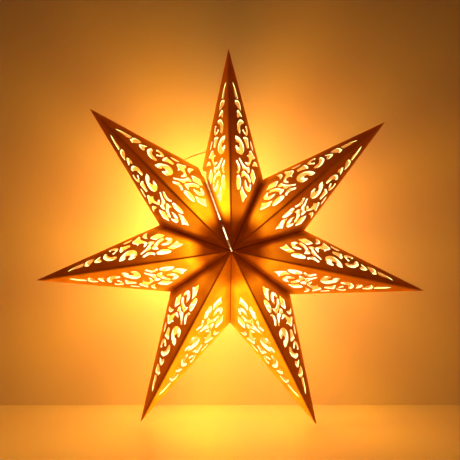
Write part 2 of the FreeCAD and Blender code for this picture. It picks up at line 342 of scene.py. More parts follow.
class PanelTree:
    """Geometry Nodes tree that fills a flat outline and lays it on a panel.

    The finished panel keeps two attributes: folds, which holds the distances
    from the ridge, the valley and the rim, and light, the shares of light.
    """

    def __init__(self) -> None:
        """Build the tree."""
        self.tree, self.graph, self.given, result = new_tree(
            "perforated_panel",
            "GeometryNodeTree",
            {
                "Outlines": ("NodeSocketGeometry", None),
                "Tip": ("NodeSocketVector", (0, 0, 0)),
                "Notch": ("NodeSocketVector", (0, 1, 0)),
                "Centre": ("NodeSocketVector", (1, 0, 0)),
                "Turned over": ("NodeSocketBool", False),
                "Light": ("NodeSocketColor", (1.0, 1.0, 1.0, 1.0)),
                "Paper": ("NodeSocketMaterial", None),
            },
            {"Panel": "NodeSocketGeometry"},
        )
        graph, given = self.graph, self.given
        ridge = graph.vector("SUBTRACT", given["Centre"], given["Tip"])
        rim = graph.vector("SUBTRACT", given["Notch"], given["Tip"])
        filled = graph.add("GeometryNodeFillCurve", {"Curve": given["Outlines"]}, mode="TRIANGLES")
        sheet = self.lay(filled.outputs["Mesh"], ridge, rim)
        sheet = self.store(sheet, "folds", self.folds(ridge, rim), "FLOAT_VECTOR", "CORNER")
        sheet = self.store(sheet, "light", given["Light"], "FLOAT_COLOR", "FACE")
        turned = graph.add("GeometryNodeFlipFaces", {"Mesh": sheet}).outputs[0]
        sheet = graph.add(
            "GeometryNodeSwitch",
            {"Switch": given["Turned over"], "False": sheet, "True": turned},
            input_type="GEOMETRY",
        ).outputs[0]
        sheet = graph.add("GeometryNodeRealizeInstances", {"Geometry": sheet}).outputs[0]
        papered = graph.add("GeometryNodeSetMaterial", {"Geometry": sheet, "Material": given["Paper"]})
        graph.feed(result.inputs["Panel"], papered.outputs[0])

    def off_line(self, offset: NodeSocket, line: NodeSocket) -> NodeSocket:
        """Part of an offset that is square to a line."""
        return self.graph.vector("SUBTRACT", offset, self.graph.vector("PROJECT", offset, line))

    def lay(self, sheet: NodeSocket, ridge: NodeSocket, rim: NodeSocket) -> NodeSocket:
        """Lay a flat sheet, drawn in shares of ridge and breadth, on the panel.

        Args:
            sheet: flat geometry.
            ridge: vector from the tip to the star's centre.
            rim: vector from the tip to the notch.

        Returns:
            The geometry in its place.
        """
        graph = self.graph
        breadth = self.off_line(rim, ridge)
        flat = graph.add("ShaderNodeSeparateXYZ", {0: graph.add("GeometryNodeInputPosition").outputs[0]})
        along = graph.vector("SCALE", ridge, flat.outputs["X"])
        across = graph.vector("SCALE", breadth, flat.outputs["Y"])
        laid = graph.vector("ADD", self.given["Tip"], graph.vector("ADD", along, across))
        return graph.add("GeometryNodeSetPosition", {"Geometry": sheet, "Position": laid}).outputs[0]

    def folds(self, ridge: NodeSocket, rim: NodeSocket) -> NodeSocket:
        """Measure how far each corner of the panel is from its three sides.

        Args:
            ridge: vector from the tip to the star's centre.
            rim: vector from the tip to the notch.

        Returns:
            The distances from the ridge, the valley and the rim, as a vector.
        """
        graph = self.graph
        place = graph.add("GeometryNodeInputPosition").outputs[0]
        from_tip = graph.vector("SUBTRACT", place, self.given["Tip"])
        from_notch = graph.vector("SUBTRACT", place, self.given["Notch"])
        valley = graph.vector("SUBTRACT", self.given["Centre"], self.given["Notch"])
        distances = {
            "X": graph.vector("LENGTH", self.off_line(from_tip, ridge)),
            "Y": graph.vector("LENGTH", self.off_line(from_notch, valley)),
            "Z": graph.vector("LENGTH", self.off_line(from_tip, rim)),
        }
        return graph.add("ShaderNodeCombineXYZ", distances).outputs[0]

    def store(self, sheet: NodeSocket, name: str, value: NodeSocket, kind: str, domain: str) -> NodeSocket:
        """Keep a value as a named attribute of the mesh.

        Args:
            sheet: geometry to add to.
            name: the attribute's name.
            value: what it holds.
            kind: name of its data type.
            domain: name of the mesh's parts that it belongs to.

        Returns:
            The geometry with the attribute.
        """
        inputs = {"Geometry": sheet, "Name": name, "Value": value}
        node = self.graph.add("GeometryNodeStoreNamedAttribute", inputs, data_type=kind, domain=domain)
        return node.outputs[0]


def run_tree(source: Object, tree: NodeTree, values: dict[str, object]) -> Mesh:
    """Turn an object's geometry into a plain mesh with a Geometry Nodes tree.

    Args:
        source: object whose own geometry goes into the tree.
        tree: the tree.
        values: input values by the input's name.

    Returns:
        The finished mesh.
    """
    modifier = source.modifiers.new(tree.name, "NODES")
    modifier.node_group = tree
    for item in tree.interface.items_tree:
        if item.item_type == "SOCKET" and item.in_out == "INPUT" and item.name in values:
            modifier[item.identifier] = values[item.name]
    mesh = baked_mesh(source)
    source.modifiers.remove(modifier)
    return mesh


def baked_mesh(source: Object) -> Mesh:
    """Make a plain mesh of an object as its modifiers leave it.

    Args:
        source: the object.

    Returns:
        The new mesh.
    """
    bpy.context.view_layer.update()
    graph = bpy.context.evaluated_depsgraph_get()
    return bpy.data.meshes.new_from_object(source.evaluated_get(graph))


def add_object(name: str, data: ID) -> Object:
    """Put a new object into the scene.

    Args:
        name: its name.
        data: its mesh, curve, camera or light.

    Returns:
        The object.
    """
    made = bpy.data.objects.new(name, data)
    bpy.context.scene.collection.objects.link(made)
    return made


def drop_object(unwanted: Object) -> None:
    """Delete a helper object and its data."""
    bpy.data.batch_remove([unwanted, unwanted.data])


def paint_nodes(nodes: dict[str, Object], names: tuple[str, ...], material: Material) -> None:
    """Give CAD nodes that are shown as they are their material.

    Args:
        nodes: the frame's nodes by name.
        names: the nodes to paint.
        material: their material.
    """
    for name in names:
        nodes[name].data.materials.clear()
        nodes[name].data.materials.append(material)
        log.info("%s: shown as it is, in %s", name, material.name)


def dress(piece: Object, slot: str, *nodes: str) -> Object:
    """Hang a finished piece on the body, in the place of CAD nodes.

    Args:
        piece: the finished piece.
        slot: material slot of the record, which is only logged.
        nodes: CAD nodes that it stands for.

    Returns:
        The same piece.
    """
    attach(piece, BODY)
    if nodes:
        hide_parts(*nodes)
    log.info("%s: %s, for %s", piece.name, slot, ", ".join(nodes) or "no node")
    return piece


# ---- Finishes --------------------------------------------------------------
def new_material(name: str) -> tuple[Material, Graph]:
    """Make an empty node material.

    Args:
        name: its name.

    Returns:
        The material and its graph.
    """
    material = bpy.data.materials.new(name)
    material.use_nodes = True
    material.node_tree.nodes.clear()
    return material, Graph(material.node_tree)


def finish_material(graph: Graph, shader: NodeSocket) -> None:
    """Lead a shader to the material's output."""
    graph.add("ShaderNodeOutputMaterial", {"Surface": shader})


def pass_shadows(graph: Graph, solid: Node, share: object, tint: Colour) -> NodeSocket:
    """Let a share of the lamp's light through a surface, on to the room.

    Args:
        graph: graph of the material.
        solid: shader of the surface.
        share: number or socket, the part of the light that goes through.
        tint: colour that the light takes on.

    Returns:
        The shader's socket for the material's output.
    """
    clear = graph.add("ShaderNodeBsdfTransparent", {"Color": tint})
    shadow = graph.add("ShaderNodeLightPath").outputs["Is Shadow Ray"]
    factor = graph.math("MULTIPLY", shadow, share)
    shaders = {0: factor, 1: solid.outputs[0], 2: clear.outputs[0]}
    return graph.add("ShaderNodeMixShader", shaders).outputs[0]


@dataclass(frozen=True)
class GrainGroup:
    """Shader group for the uneven tone and the fine relief of paper and card.

    Its inputs are the scales of both, for coordinates in metres.
    """

    blotch_scale: float = 38.0
    blotch_detail: float = 3.0
    fibre_scale: float = 1400.0
    fibre_detail: float = 4.0

    def build(self) -> NodeTree:
        """Make the group.

        Returns:
            The group, which puts out Blotches and Fibres, both about 0 to 1.
        """
        tree, graph, given, result = new_tree(
            "paper_grain",
            "ShaderNodeTree",
            {
                "Blotch Scale": ("NodeSocketFloat", self.blotch_scale),
                "Fibre Scale": ("NodeSocketFloat", self.fibre_scale),
            },
            {"Blotches": "NodeSocketFloat", "Fibres": "NodeSocketFloat"},
        )
        place = graph.add("ShaderNodeTexCoord").outputs["Object"]
        noises = {
            "Blotches": {"Vector": place, "Scale": given["Blotch Scale"], "Detail": self.blotch_detail},
            "Fibres": {"Vector": place, "Scale": given["Fibre Scale"], "Detail": self.fibre_detail},
        }
        for name, inputs in noises.items():
            graph.feed(result.inputs[name], graph.add("ShaderNodeTexNoise", inputs).outputs[0])
        return tree


@dataclass(frozen=True)
class LampGlowGroup:
    """Shader group for the lamp's light that comes through the card, painted in as glow.

    One share of it fades away round the lamp, and the rest is bounced about
    inside the points. Close to the star's middle line the lips of all the
    valleys stand in its way, and only the core's light is left. Places and
    distances are in the row frame, in metres.
    """

    lamp: Spot
    middle: Spot
    opening: Spot
    near: float = 0.055
    fading: float = 0.046
    core: Pair = (0.036, 0.063)
    core_shade: Pair = (0.65, 1.15)
    opening_reach: Pair = (0.016, 0.022)
    opening_shade: float = 0.3

    def build(self) -> NodeTree:
        """Make the group.

        Returns:
            The group, which puts out the Glow, of Near and Far together or of
            the Core, the distance Away from the star's middle, and Lipped,
            which is less than 1 only beside the opening for the cord.
        """
        shares = {name: ("NodeSocketFloat", 1.0) for name in ("Near", "Far", "Core")}
        results = {name: "NodeSocketFloat" for name in ("Glow", "Away", "Lipped")}
        tree, graph, given, result = new_tree("lamp_glow", "ShaderNodeTree", shares, results)
        from_lamp = graph.math("SUBTRACT", self.near, self.from_line(graph, self.lamp))
        beyond = graph.math("DIVIDE", graph.math("MINIMUM", from_lamp, 0.0), self.fading)
        lit = graph.math("MULTIPLY", graph.math("EXPONENT", beyond), given["Near"])
        lit = graph.math("ADD", lit, given["Far"])

        from_middle = self.from_line(graph, self.middle)
        core_shade = graph.ramp(from_middle, 0.0, self.core[0], *self.core_shade)
        core_light = graph.math("MULTIPLY", given["Core"], core_shade)
        past_core = graph.ramp(from_middle, *self.core)
        added = graph.math("MULTIPLY", graph.math("SUBTRACT", lit, core_light), past_core)
        lipped = graph.ramp(self.from_line(graph, self.opening), *self.opening_reach, self.opening_shade)
        graph.feed(result.inputs["Glow"], graph.math("ADD", core_light, added))
        graph.feed(result.inputs["Away"], from_middle)
        graph.feed(result.inputs["Lipped"], lipped)
        return tree

    def from_line(self, graph: Graph, spot: Spot) -> NodeSocket:
        """Distance from the line through a spot, from the front to the back."""
        away = graph.vector("SUBTRACT", graph.add("ShaderNodeTexCoord").outputs["Object"], spot)
        return graph.vector("LENGTH", graph.vector("MULTIPLY", away, (1.0, 0.0, 1.0)))


@dataclass(frozen=True)
class PaperFinish:
    """Dyed card: coloured outside, pale inside, scorched at its cut edges.

    The lamp's light on both faces is painted in as glow, with painted shade at the crease, behind the lips
    and in the valleys, and painted light at the rim.
    Bands and widths beside a fold are in millimetres, and reaches from the
    star's middle line in metres. A glow of 1 is the light's own colour.
    """

    grain: NodeTree
    glow: NodeTree
    blotch_scale: float = 38.0
    fibre_scale: float = 1400.0
    shine: float = 0.15

    outside: Colour = (0.30, 0.10, 0.003, 1.0)
    # Painted shade: the card's colour is darker along the ridge's crease.
    crease_shade: Colour = (0.22, 0.095, 0.006, 1.0)
    blotch_tone: Pair = (0.88, 1.10)
    fibre_tone: Pair = (0.92, 1.08)
    outside_roughness: float = 0.55
    relief: float = 0.25
    relief_depth: float = 0.0002

    inside: Colour = (0.80, 0.74, 0.62, 1.0)
    inside_tone: Pair = (0.9, 1.08)
    inside_roughness: float = 0.7
    # Painted lamp light on the inner face: its glow fades from near to far, with painted shade next to the
    # star's middle line, where the lips shade it.
    inside_core_shade: Colour = (0.75, 0.45, 0.28, 1.0)
    core_reach: Pair = (0.04, 0.085)
    inside_near_glow: Colour = (0.82, 0.85, 0.58, 1.0)
    inside_far_glow: Colour = (0.72, 0.83, 0.26, 1.0)
    inside_reach: Pair = (0.06, 0.27)

    edge: Colour = (0.55, 0.33, 0.12, 1.0)
    edge_tone: Pair = (0.7, 1.1)
    edge_roughness: float = 0.8

    dim_light: Colour = (1.0, 0.067, 0.0, 1.0)
    full_light: Colour = (1.0, 0.40, 0.004, 1.0)
    full_glow: float = 2.0
    least_glow: float = 0.11
    lip_shade: float = 0.05
    lip_band: Pair = (2.0, 13.0)
    crease_glow: float = 0.11
    crease_near: float = 3.4
    crease_far: Pair = (7.0, 4.6)
    crease_light: Pair = (0.35, 0.8)
    crease_reach: Pair = (0.05, 0.14)
    valley_width: float = 2.0
    valley_shade: float = 0.35
    rim_width: float = 12.0
    rim_light: Pair = (0.36, 0.02)
    rim_reach: Pair = (0.11, 0.28)
    shadow_gap: float = 0.65
    shadow_tint: Colour = (1.0, 0.65, 0.3, 1.0)

    def add_grain(self, graph: Graph) -> Node:
        """Place the grain group in a material."""
        scales = {"Blotch Scale": self.blotch_scale, "Fibre Scale": self.fibre_scale}
        return graph.add("ShaderNodeGroup", scales, node_tree=self.grain)

    def thin(self, graph: Graph, card: Node) -> NodeSocket:
        """Let light through the single card, but not through the lips.

        Args:
            graph: graph of the material.
            card: shader of the card.

        Returns:
            The shader's socket for the material's output.
        """
        light = graph.add("ShaderNodeAttribute", attribute_name="light")
        single = graph.math("GREATER_THAN", light.outputs["Alpha"], 0.0)
        return pass_shadows(graph, card, graph.math("MULTIPLY", single, self.shadow_gap), self.shadow_tint)

    def crease_mask(self, graph: Graph, lit: Node, off_ridge: NodeSocket) -> NodeSocket:
        """Find the painted shade along the crease, which is wider where the panel is dim.

        Args:
            graph: graph of the material.
            lit: the lamp's light on the panel.
            off_ridge: distance from the ridge.

        Returns:
            A mask that is 0 in the crease's painted shade and 1 past it.
        """
        far_width = graph.ramp(lit.outputs["Glow"], *self.crease_light, *self.crease_far)
        width = graph.ramp(lit.outputs["Away"], *self.crease_reach, self.crease_near, far_width)
        return graph.ramp(off_ridge, 0.0, width)

    def outside_glow(
        self, graph: Graph, lit: Node, lips: NodeSocket, crease_shade: NodeSocket, folds: dict[str, NodeSocket]
    ) -> NodeSocket:
        """Shade the lamp's light at the folds and lips, and add to it at the rim.

        Args:
            graph: graph of the material.
            lit: the lamp's light on the panel.
            lips: how much of it the lips hold back.
            crease_shade: mask of the painted shade at the crease.
            folds: distances from the ridge, X, the valley, Y, and the rim, Z.

        Returns:
            Strength of the glow.
        """
        past_crease = graph.math("SUBTRACT", lit.outputs["Glow"], self.crease_glow)
        glow = graph.math("ADD", graph.math("MULTIPLY", past_crease, crease_shade), self.crease_glow)
        past_lip = graph.ramp(folds["Y"], *self.lip_band, self.lip_shade)
        behind_lip = graph.math("MULTIPLY", graph.math("SUBTRACT", 1.0, past_lip), lips)
        behind_lip = graph.math("MULTIPLY", behind_lip, lit.outputs["Lipped"])
        glow = graph.math("MULTIPLY", glow, graph.math("SUBTRACT", 1.0, behind_lip))
        glow = graph.math("MAXIMUM", glow, self.least_glow)
        at_rim = graph.ramp(folds["Z"], 0.0, self.rim_width, 1.0, 0.0)
        rim_light = graph.ramp(lit.outputs["Away"], *self.rim_reach, *self.rim_light)
        glow = graph.math("ADD", glow, graph.math("MULTIPLY", at_rim, rim_light))
        past_valley = graph.ramp(folds["Y"], 0.0, self.valley_width, self.valley_shade)
        return graph.math("MULTIPLY", glow, past_valley)

    def build_outside(self) -> Material:
        """Make the outer face, whose painted glow shows where the lamp stands behind it.

        Returns:
            The material.
        """
        material, graph = new_material("dyed_card_outside")
        grain = self.add_grain(graph)
        blotches = graph.tone(grain.outputs["Blotches"], *self.blotch_tone)
        fibres = graph.tone(grain.outputs["Fibres"], *self.fibre_tone)
        tint = graph.math("MULTIPLY", blotches, fibres)

        light = graph.add("ShaderNodeAttribute", attribute_name="light")
        near, far, lips = graph.add("ShaderNodeSeparateColor", {0: light.outputs["Color"]}).outputs
        shares = {"Near": near, "Far": far, "Core": light.outputs["Alpha"]}
        lit = graph.add("ShaderNodeGroup", shares, node_tree=self.glow)
        folds = graph.add("ShaderNodeAttribute", attribute_name="folds").outputs["Vector"]
        folds = graph.add("ShaderNodeSeparateXYZ", {0: folds}).outputs
        crease_shade = self.crease_mask(graph, lit, folds["X"])
        glow = graph.math("MULTIPLY", self.outside_glow(graph, lit, lips, crease_shade, folds), tint)
        glow_hue = graph.mix(graph.math("DIVIDE", glow, self.full_glow), self.dim_light, self.full_light)

        bump = {"Height": grain.outputs["Fibres"], "Strength": self.relief, "Distance": self.relief_depth}
        # The base colour carries the painted shade along the crease; the glow is painted lamp light.
        card = graph.add(
            "ShaderNodeBsdfPrincipled",
            {
                "Base Color": graph.vector("SCALE", graph.mix(crease_shade, self.crease_shade, self.outside), tint),
                "Roughness": self.outside_roughness,
                "Specular IOR Level": self.shine,
                "Normal": graph.add("ShaderNodeBump", bump).outputs[0],
                "Emission Color": graph.vector("SCALE", glow_hue, glow),
                "Emission Strength": 1.0,
            },
        )
        finish_material(graph, self.thin(graph, card))
        return material

    def build_inside(self) -> Material:
        """Make the inner face, whose painted glow is bright all round the lamp.

        Returns:
            The material.
        """
        material, graph = new_material("dyed_card_inside")
        tint = graph.tone(self.add_grain(graph).outputs["Blotches"], *self.inside_tone)
        away = graph.add("ShaderNodeGroup", node_tree=self.glow).outputs["Away"]
        glow_hue = graph.mix(graph.ramp(away, *self.inside_reach), self.inside_near_glow, self.inside_far_glow)
        glow_hue = graph.mix(graph.ramp(away, *self.core_reach), self.inside_core_shade, glow_hue)
        card = graph.add(
            "ShaderNodeBsdfPrincipled",
            {
                "Base Color": graph.vector("SCALE", self.inside[:3], tint),
                "Roughness": self.inside_roughness,
                "Specular IOR Level": self.shine,
                "Emission Color": graph.vector("SCALE", glow_hue, tint),
                "Emission Strength": 1.0,
            },
        )
        finish_material(graph, self.thin(graph, card))
        return material

    def build_edge(self) -> Material:
        """Make the cut edge of the card.

        Returns:
            The material.
        """
        material, graph = new_material("dyed_card_edge")
        tint = graph.tone(self.add_grain(graph).outputs["Fibres"], *self.edge_tone)
        colour = graph.vector("SCALE", self.edge[:3], tint)
        inputs = {"Base Color": colour, "Roughness": self.edge_roughness}
        card = graph.add("ShaderNodeBsdfPrincipled", inputs)
        finish_material(graph, card.outputs[0])
        return material


@dataclass(frozen=True)
class PlainFinish:
    """Even finish with a fine relief, for the lamp, the string and the tabs.

    With a glow reach, the glow grows from nothing to its whole strength
    between these two distances from its middle, in metres. On the tabs this glow is painted lamp light.
    """

    name: str
    colour: Colour
    roughness: float
    relief_scale: float
    relief: float
    relief_depth: float = 0.0003
    relief_detail: float = 3.0
    roughness_spread: float = 0.06
    variation: float = 0.1
    metallic: float = 0.0
    glow: float = 0.0
    glow_colour: Colour = (1.0, 1.0, 1.0, 1.0)
    glow_middle: Spot = (0.0, 0.0, 0.0)
    glow_reach: Pair | None = None
    clear_to_light: bool = False

    def build(self) -> Material:
        """Make the finish.

        Returns:
            The material.
        """
        material, graph = new_material(self.name)
        place = graph.add("ShaderNodeTexCoord").outputs["Object"]
        noise = {"Vector": place, "Scale": self.relief_scale, "Detail": self.relief_detail}
        speckle = graph.add("ShaderNodeTexNoise", noise).outputs[0]
        tint = graph.tone(speckle, 1.0 - self.variation, 1.0 + self.variation)
        spread = self.roughness_spread
        bump = {"Height": speckle, "Strength": self.relief, "Distance": self.relief_depth}
        glow = self.glow
        if self.glow_reach:
            away = graph.vector("LENGTH", graph.vector("SUBTRACT", place, self.glow_middle))
            glow = graph.ramp(away, *self.glow_reach, 0.0, self.glow)
        shader = graph.add(
            "ShaderNodeBsdfPrincipled",
            {
                "Base Color": graph.vector("SCALE", self.colour[:3], tint),
                "Roughness": graph.tone(speckle, self.roughness - spread, self.roughness + spread),
                "Metallic": self.metallic,
                "Normal": graph.add("ShaderNodeBump", bump).outputs[0],
                "Emission Color": self.glow_colour,
                "Emission Strength": glow,
            },
        )
        surface = shader.outputs[0]
        if self.clear_to_light:
            surface = pass_shadows(graph, shader, 1.0, (1.0, 1.0, 1.0, 1.0))
        finish_material(graph, surface)
        return material


FROSTED_GLASS = PlainFinish(
    "frosted_glass",
    colour=(0.9, 0.85, 0.78, 1.0),
    roughness=0.3,
    relief_scale=300.0,
    relief=0.1,
    glow=0.95,
    glow_colour=(1.0, 0.85, 0.55, 1.0),
    clear_to_light=True,
)
HOLDER_PLASTIC = PlainFinish("holder_plastic", (0.82, 0.80, 0.74, 1.0), 0.4, 400.0, 0.05, variation=0.03)
CONTACT_BRASS = PlainFinish("contact_brass", (0.80, 0.60, 0.28, 1.0), 0.3, 700.0, 0.1, metallic=1.0)
COTTON = PlainFinish("cotton", (0.80, 0.62, 0.30, 1.0), 0.8, 2500.0, 0.6)
# The tabs' glow is painted lamp light, none near the star's middle, where the lips shade them.
WOVEN_TAPE = PlainFinish(
    "woven_tape",
    colour=(0.85, 0.82, 0.75, 1.0),
    roughness=0.85,
    relief_scale=2000.0,
    relief=0.8,
    glow=0.8,
    glow_colour=(1.0, 0.72, 0.22, 1.0),
    glow_middle=STAR.middle(),
    glow_reach=(0.07, 0.10),
)


# ---- The folded points -----------------------------------------------------
@dataclass(frozen=True)
class Valley:
    """One side of a point: the plane in which its sheet meets its neighbour.

    Side is 1 where the point lies on from the valley in the direction of
    rising bearings, and -1 on the other side. Bite is the outline of a cut
    corner, from the notch along the valley and into the sheet.
    """

    bearing: float
    side: int
    notch_radius: float = STAR.notch_radius
    half_gap: float = 0.0
    bite: tuple[Pair, ...] = ()

    def spot(self, along: float, across: float, depth: float = 0.0) -> Vector:
        """Point out along the valley, and across it into the sheet."""
        return polar(along, self.bearing, depth) + polar(across * self.side, self.bearing + 90)

    def notch(self) -> Vector:
        """Outer end of the valley."""
        return self.spot(self.notch_radius, 0)

    def side_edge(self, tip: Vector, across: float) -> Vector:
        """Point of the edge from notch to tip, this far into the sheet."""
        reach = (tip - self.notch()).dot(self.spot(0, 1))
        return self.notch().lerp(tip, across / reach)

    def border(self, tip: Vector) -> list[Vector]:
        """Trace the sheet's border along this valley, outwards from the eye.

        Args:
            tip: the point's tip.

        Returns:
            The border's corners, of which the first two end the lips.
        """
        eye_along = math.sqrt(STAR.eye_radius ** 2 - self.half_gap ** 2)
        corners = [self.spot(eye_along, self.half_gap)]
        if not self.bite:
            return [*corners, self.side_edge(tip, self.half_gap)]
        outline = [(-STAR.opening_length, 0.0), *self.bite]
        kept = [place for place in outline if place[1] > self.half_gap]
        if outline[-1] in kept:
            kept.pop()
        cut = [self.level_crossing(outline[0], outline[1]), *kept]
        if self.bite[-1][1] < self.half_gap:
            cut.append(self.level_crossing(self.bite[-2], self.bite[-1]))
        corners += [self.spot(self.notch_radius + along, across) for along, across in cut]
        corners.append(self.side_edge(tip, max(self.half_gap, self.bite[-1][1])))
        return corners

    def level_crossing(self, start: Pair, end: Pair) -> Pair:
        """Point of a line at which the valley's own side of the sheet begins."""
        share = (self.half_gap - start[1]) / (end[1] - start[1])
        return (start[0] + (end[0] - start[0]) * share, self.half_gap)


@dataclass(frozen=True)
class Panel:
    """Flat quarter of a folded sheet, between its ridge and one notch."""

    tip: Vector
    notch: Vector
    centre: Vector

    def axes(self) -> tuple[Vector, Vector]:
        """Find the panel's own two directions.

        Returns:
            The ridge, from tip to centre, and the breadth, from ridge to notch.
        """
        ridge = self.centre - self.tip
        to_notch = self.notch - self.tip
        return ridge, to_notch - to_notch.project(ridge)

    def flat(self, place: Vector) -> Vector:
        """Find a place in the panel's own shares.

        Args:
            place: the place as seen from the front, at any depth.

        Returns:
            Its shares of the ridge and of the breadth.
        """
        ridge, breadth = self.axes()
        off = place - self.tip
        scale = ridge.x * breadth.z - ridge.z * breadth.x
        along = (off.x * breadth.z - off.z * breadth.x) / scale
        across = (ridge.x * off.z - ridge.z * off.x) / scale
        return Vector((along, across, 0))

    def laid(self, place: Vector) -> Vector:
        """Find the point of the panel at a place seen from the front.

        Args:
            place: the place, at any depth.

        Returns:
            The point of the panel.
        """
        ridge, breadth = self.axes()
        share = self.flat(place)
        return self.tip + ridge * share.x + breadth * share.y

    def hole(self, start: Vector, direction: Vector, radius: float, corners: int = 20) -> list[Vector]:
        """Trace the outline that a round bore leaves in this panel.

        Args:
            start: a point of the bore's axis.
            direction: the axis's direction.
            radius: the bore's radius.
            corners: corners of the outline.

        Returns:
            The outline, in the panel's own shares.
        """
        ridge, breadth = self.axes()
        normal = ridge.cross(breadth)
        first = direction.orthogonal().normalized()
        second = direction.cross(first).normalized()
        outline = []
        for step in range(corners):
            angle = math.tau * step / corners
            place = start + (first * math.cos(angle) + second * math.sin(angle)) * radius
            place = place + direction * ((self.tip - place).dot(normal) / direction.dot(normal))
            outline.append(self.flat(place))
        return outline


class Patchwork:
    """Gathers flat pieces of a sheet and welds them where corners meet.

    Corners within a micrometre of each other, rounded to this many digits,
    are one.
    """

    digits = 3

    def __init__(self) -> None:
        """Start with nothing."""
        self.places: list[Vector] = []
        self.index: dict[tuple[float, ...], int] = {}
        self.faces: list[list[int]] = []
        self.folds: list[tuple[float, ...]] = []
        self.lights: list[tuple[float, ...]] = []

    def corner_at(self, place: Vector) -> int:
        """Find the welded corner at a place, or add one.

        Args:
            place: where it is, in millimetres.

        Returns:
            The corner's number.
        """
        key = tuple(round(value, self.digits) for value in place)
        if key not in self.index:
            self.index[key] = len(self.places)
            self.places.append(place.copy())
        return self.index[key]

    def add_mesh(self, mesh: Mesh) -> None:
        """Add a panel's mesh with its folds and light.

        Args:
            mesh: the panel, with both attributes.
        """
        numbers = [self.corner_at(vertex.co) for vertex in mesh.vertices]
        folds = mesh.attributes["folds"].data
        lights = mesh.attributes["light"].data
        for face in mesh.polygons:
            corners = [numbers[vertex] for vertex in face.vertices]
            if len(set(corners)) < len(corners):
                continue
            self.faces.append(corners)
            self.folds += [tuple(folds[loop].vector) for loop in face.loop_indices]
            self.lights.append(tuple(lights[face.index].color))

    def add_face(self, corners: list[Vector], outward: Vector, light: PanelLight) -> None:
        """Add one flat face, such as a lip.

        Args:
            corners: its corners, in either order.
            outward: the direction that it faces.
            light: the shares of light that it shows.
        """
        numbers = [self.corner_at(place) for place in corners]
        area = Vector()
        for before, after in zip(corners, corners[1:] + corners[:1]):
            area += before.cross(after)
        if area.dot(outward) < 0:
            numbers.reverse()
        self.faces.append(numbers)
        self.folds += [(STAR.glue_lip,) * 3] * len(numbers)
        self.lights.append(light.colour())

    def mesh(self, name: str) -> Mesh:
        """Make the welded mesh.

        Args:
            name: its name.

        Returns:
            The mesh, with the folds and light of every face.
        """
        made = bpy.data.meshes.new(name)
        made.from_pydata([tuple(place) for place in self.places], [], self.faces)
        folds = made.attributes.new("folds", "FLOAT_VECTOR", "CORNER")
        folds.data.foreach_set("vector", [value for fold in self.folds for value in fold])
        lights = made.attributes.new("light", "FLOAT_COLOR", "FACE")
        lights.data.foreach_set("color", [value for light in self.lights for value in light])
        return made


@dataclass(frozen=True)
class StringRoute:
    """Line of the hanging string, along and across the seam, and its sizes."""

    points: tuple[Pair, ...] = ((149.0, 29.0), (152.0, 4.5), (149.0, -21.5))
    depth: float = 4.0
    diameter: float = 1.5
    length: float = 50.8
    hole_clearance: float = 0.9
    strands: int = 3
    strand_radius: float = 0.36
    lay_length: float = 5.0
    knot_length: float = 3.5
    knot_reach: float = 1.5
    knot_rise: float = 1.05
    knot_thickness: float = 0.7

    def places(self) -> list[Vector]:
        """The route's points about the star's centre."""
        return [STAR.seam_point(along, across, self.depth) for along, across in self.points]

    def ends(self) -> dict[str, tuple[Vector, Vector]]:
        """Both ends with their outward directions, by the sheet that holds each."""
        first, middle, last = self.places()
        return {
            "upper_left_point": (first, (first - middle).normalized()),
            "top_point": (last, (last - middle).normalized()),
        }

    def line(self, steps: int = 180) -> Route:
        """Bend the string's own line smoothly through the sheets.

        Args:
            steps: parts that the line is made of.

        Returns:
            The line's points, each with the direction across the bend.
        """
        first, middle, last = self.places()
        line = []
        for step in range(steps + 1):
            before, after = first.lerp(middle, step / steps), middle.lerp(last, step / steps)
            across = (after - before).cross(BACKWARD).normalized()
            line.append((before.lerp(after, step / steps), across))
        return line

    def strand_routes(self) -> list[Route]:
        """Wind each strand round the string's line.

        Returns:
            The strands' routes.
        """
        routes: list[Route] = [[] for _ in range(self.strands)]
        helix_radius = self.diameter / 2 - self.strand_radius
        line = self.line()
        run = 0.0
        for index, (place, across) in enumerate(line):
            run += (place - line[max(index - 1, 0)][0]).length
            for number, route in enumerate(routes):
                angle = math.tau * (run / self.lay_length + number / self.strands)
                outward = across * math.cos(angle) + BACKWARD * math.sin(angle)
                route.append((place + outward * helix_radius, outward))
        return routes

    def knot_route(self, end: Vector, outward: Vector, steps: int = 96) -> Route:
        """Tie a tight stopper knot, a trefoil, on an end of the string.

        Args:
            end: the string's end.
            outward: the string's direction there.
            steps: parts that the knot is made of.

        Returns:
            The knot's closed route.
        """
        across = outward.cross(BACKWARD)
        middle = end + outward * self.knot_length / 2
        route = []
        for step in range(steps):
            angle = math.tau * step / steps
            spoke = across * math.cos(2 * angle) + BACKWARD * math.sin(2 * angle)
            reach = self.knot_reach * (2 + math.cos(3 * angle)) / 3
            rise = self.knot_rise * math.sin(3 * angle)
            route.append((middle + spoke * reach + outward * rise, spoke))
        return route


@dataclass(frozen=True)
class PanelLight:
    """How much of the lamp's light the panels on one side of a point show.

    Near is the share that fades away round the lamp, far the share that is
    even along the point, and core what is left next to the star's middle.
    Lips is how much of it the lips in the valley hold back.
    """

    near: float
    far: float
    core: float
    lips: float = 1.0

    def colour(self) -> Colour:
        """The four shares, as the mesh attribute keeps them."""
        return (self.near, self.far, self.lips, self.core)


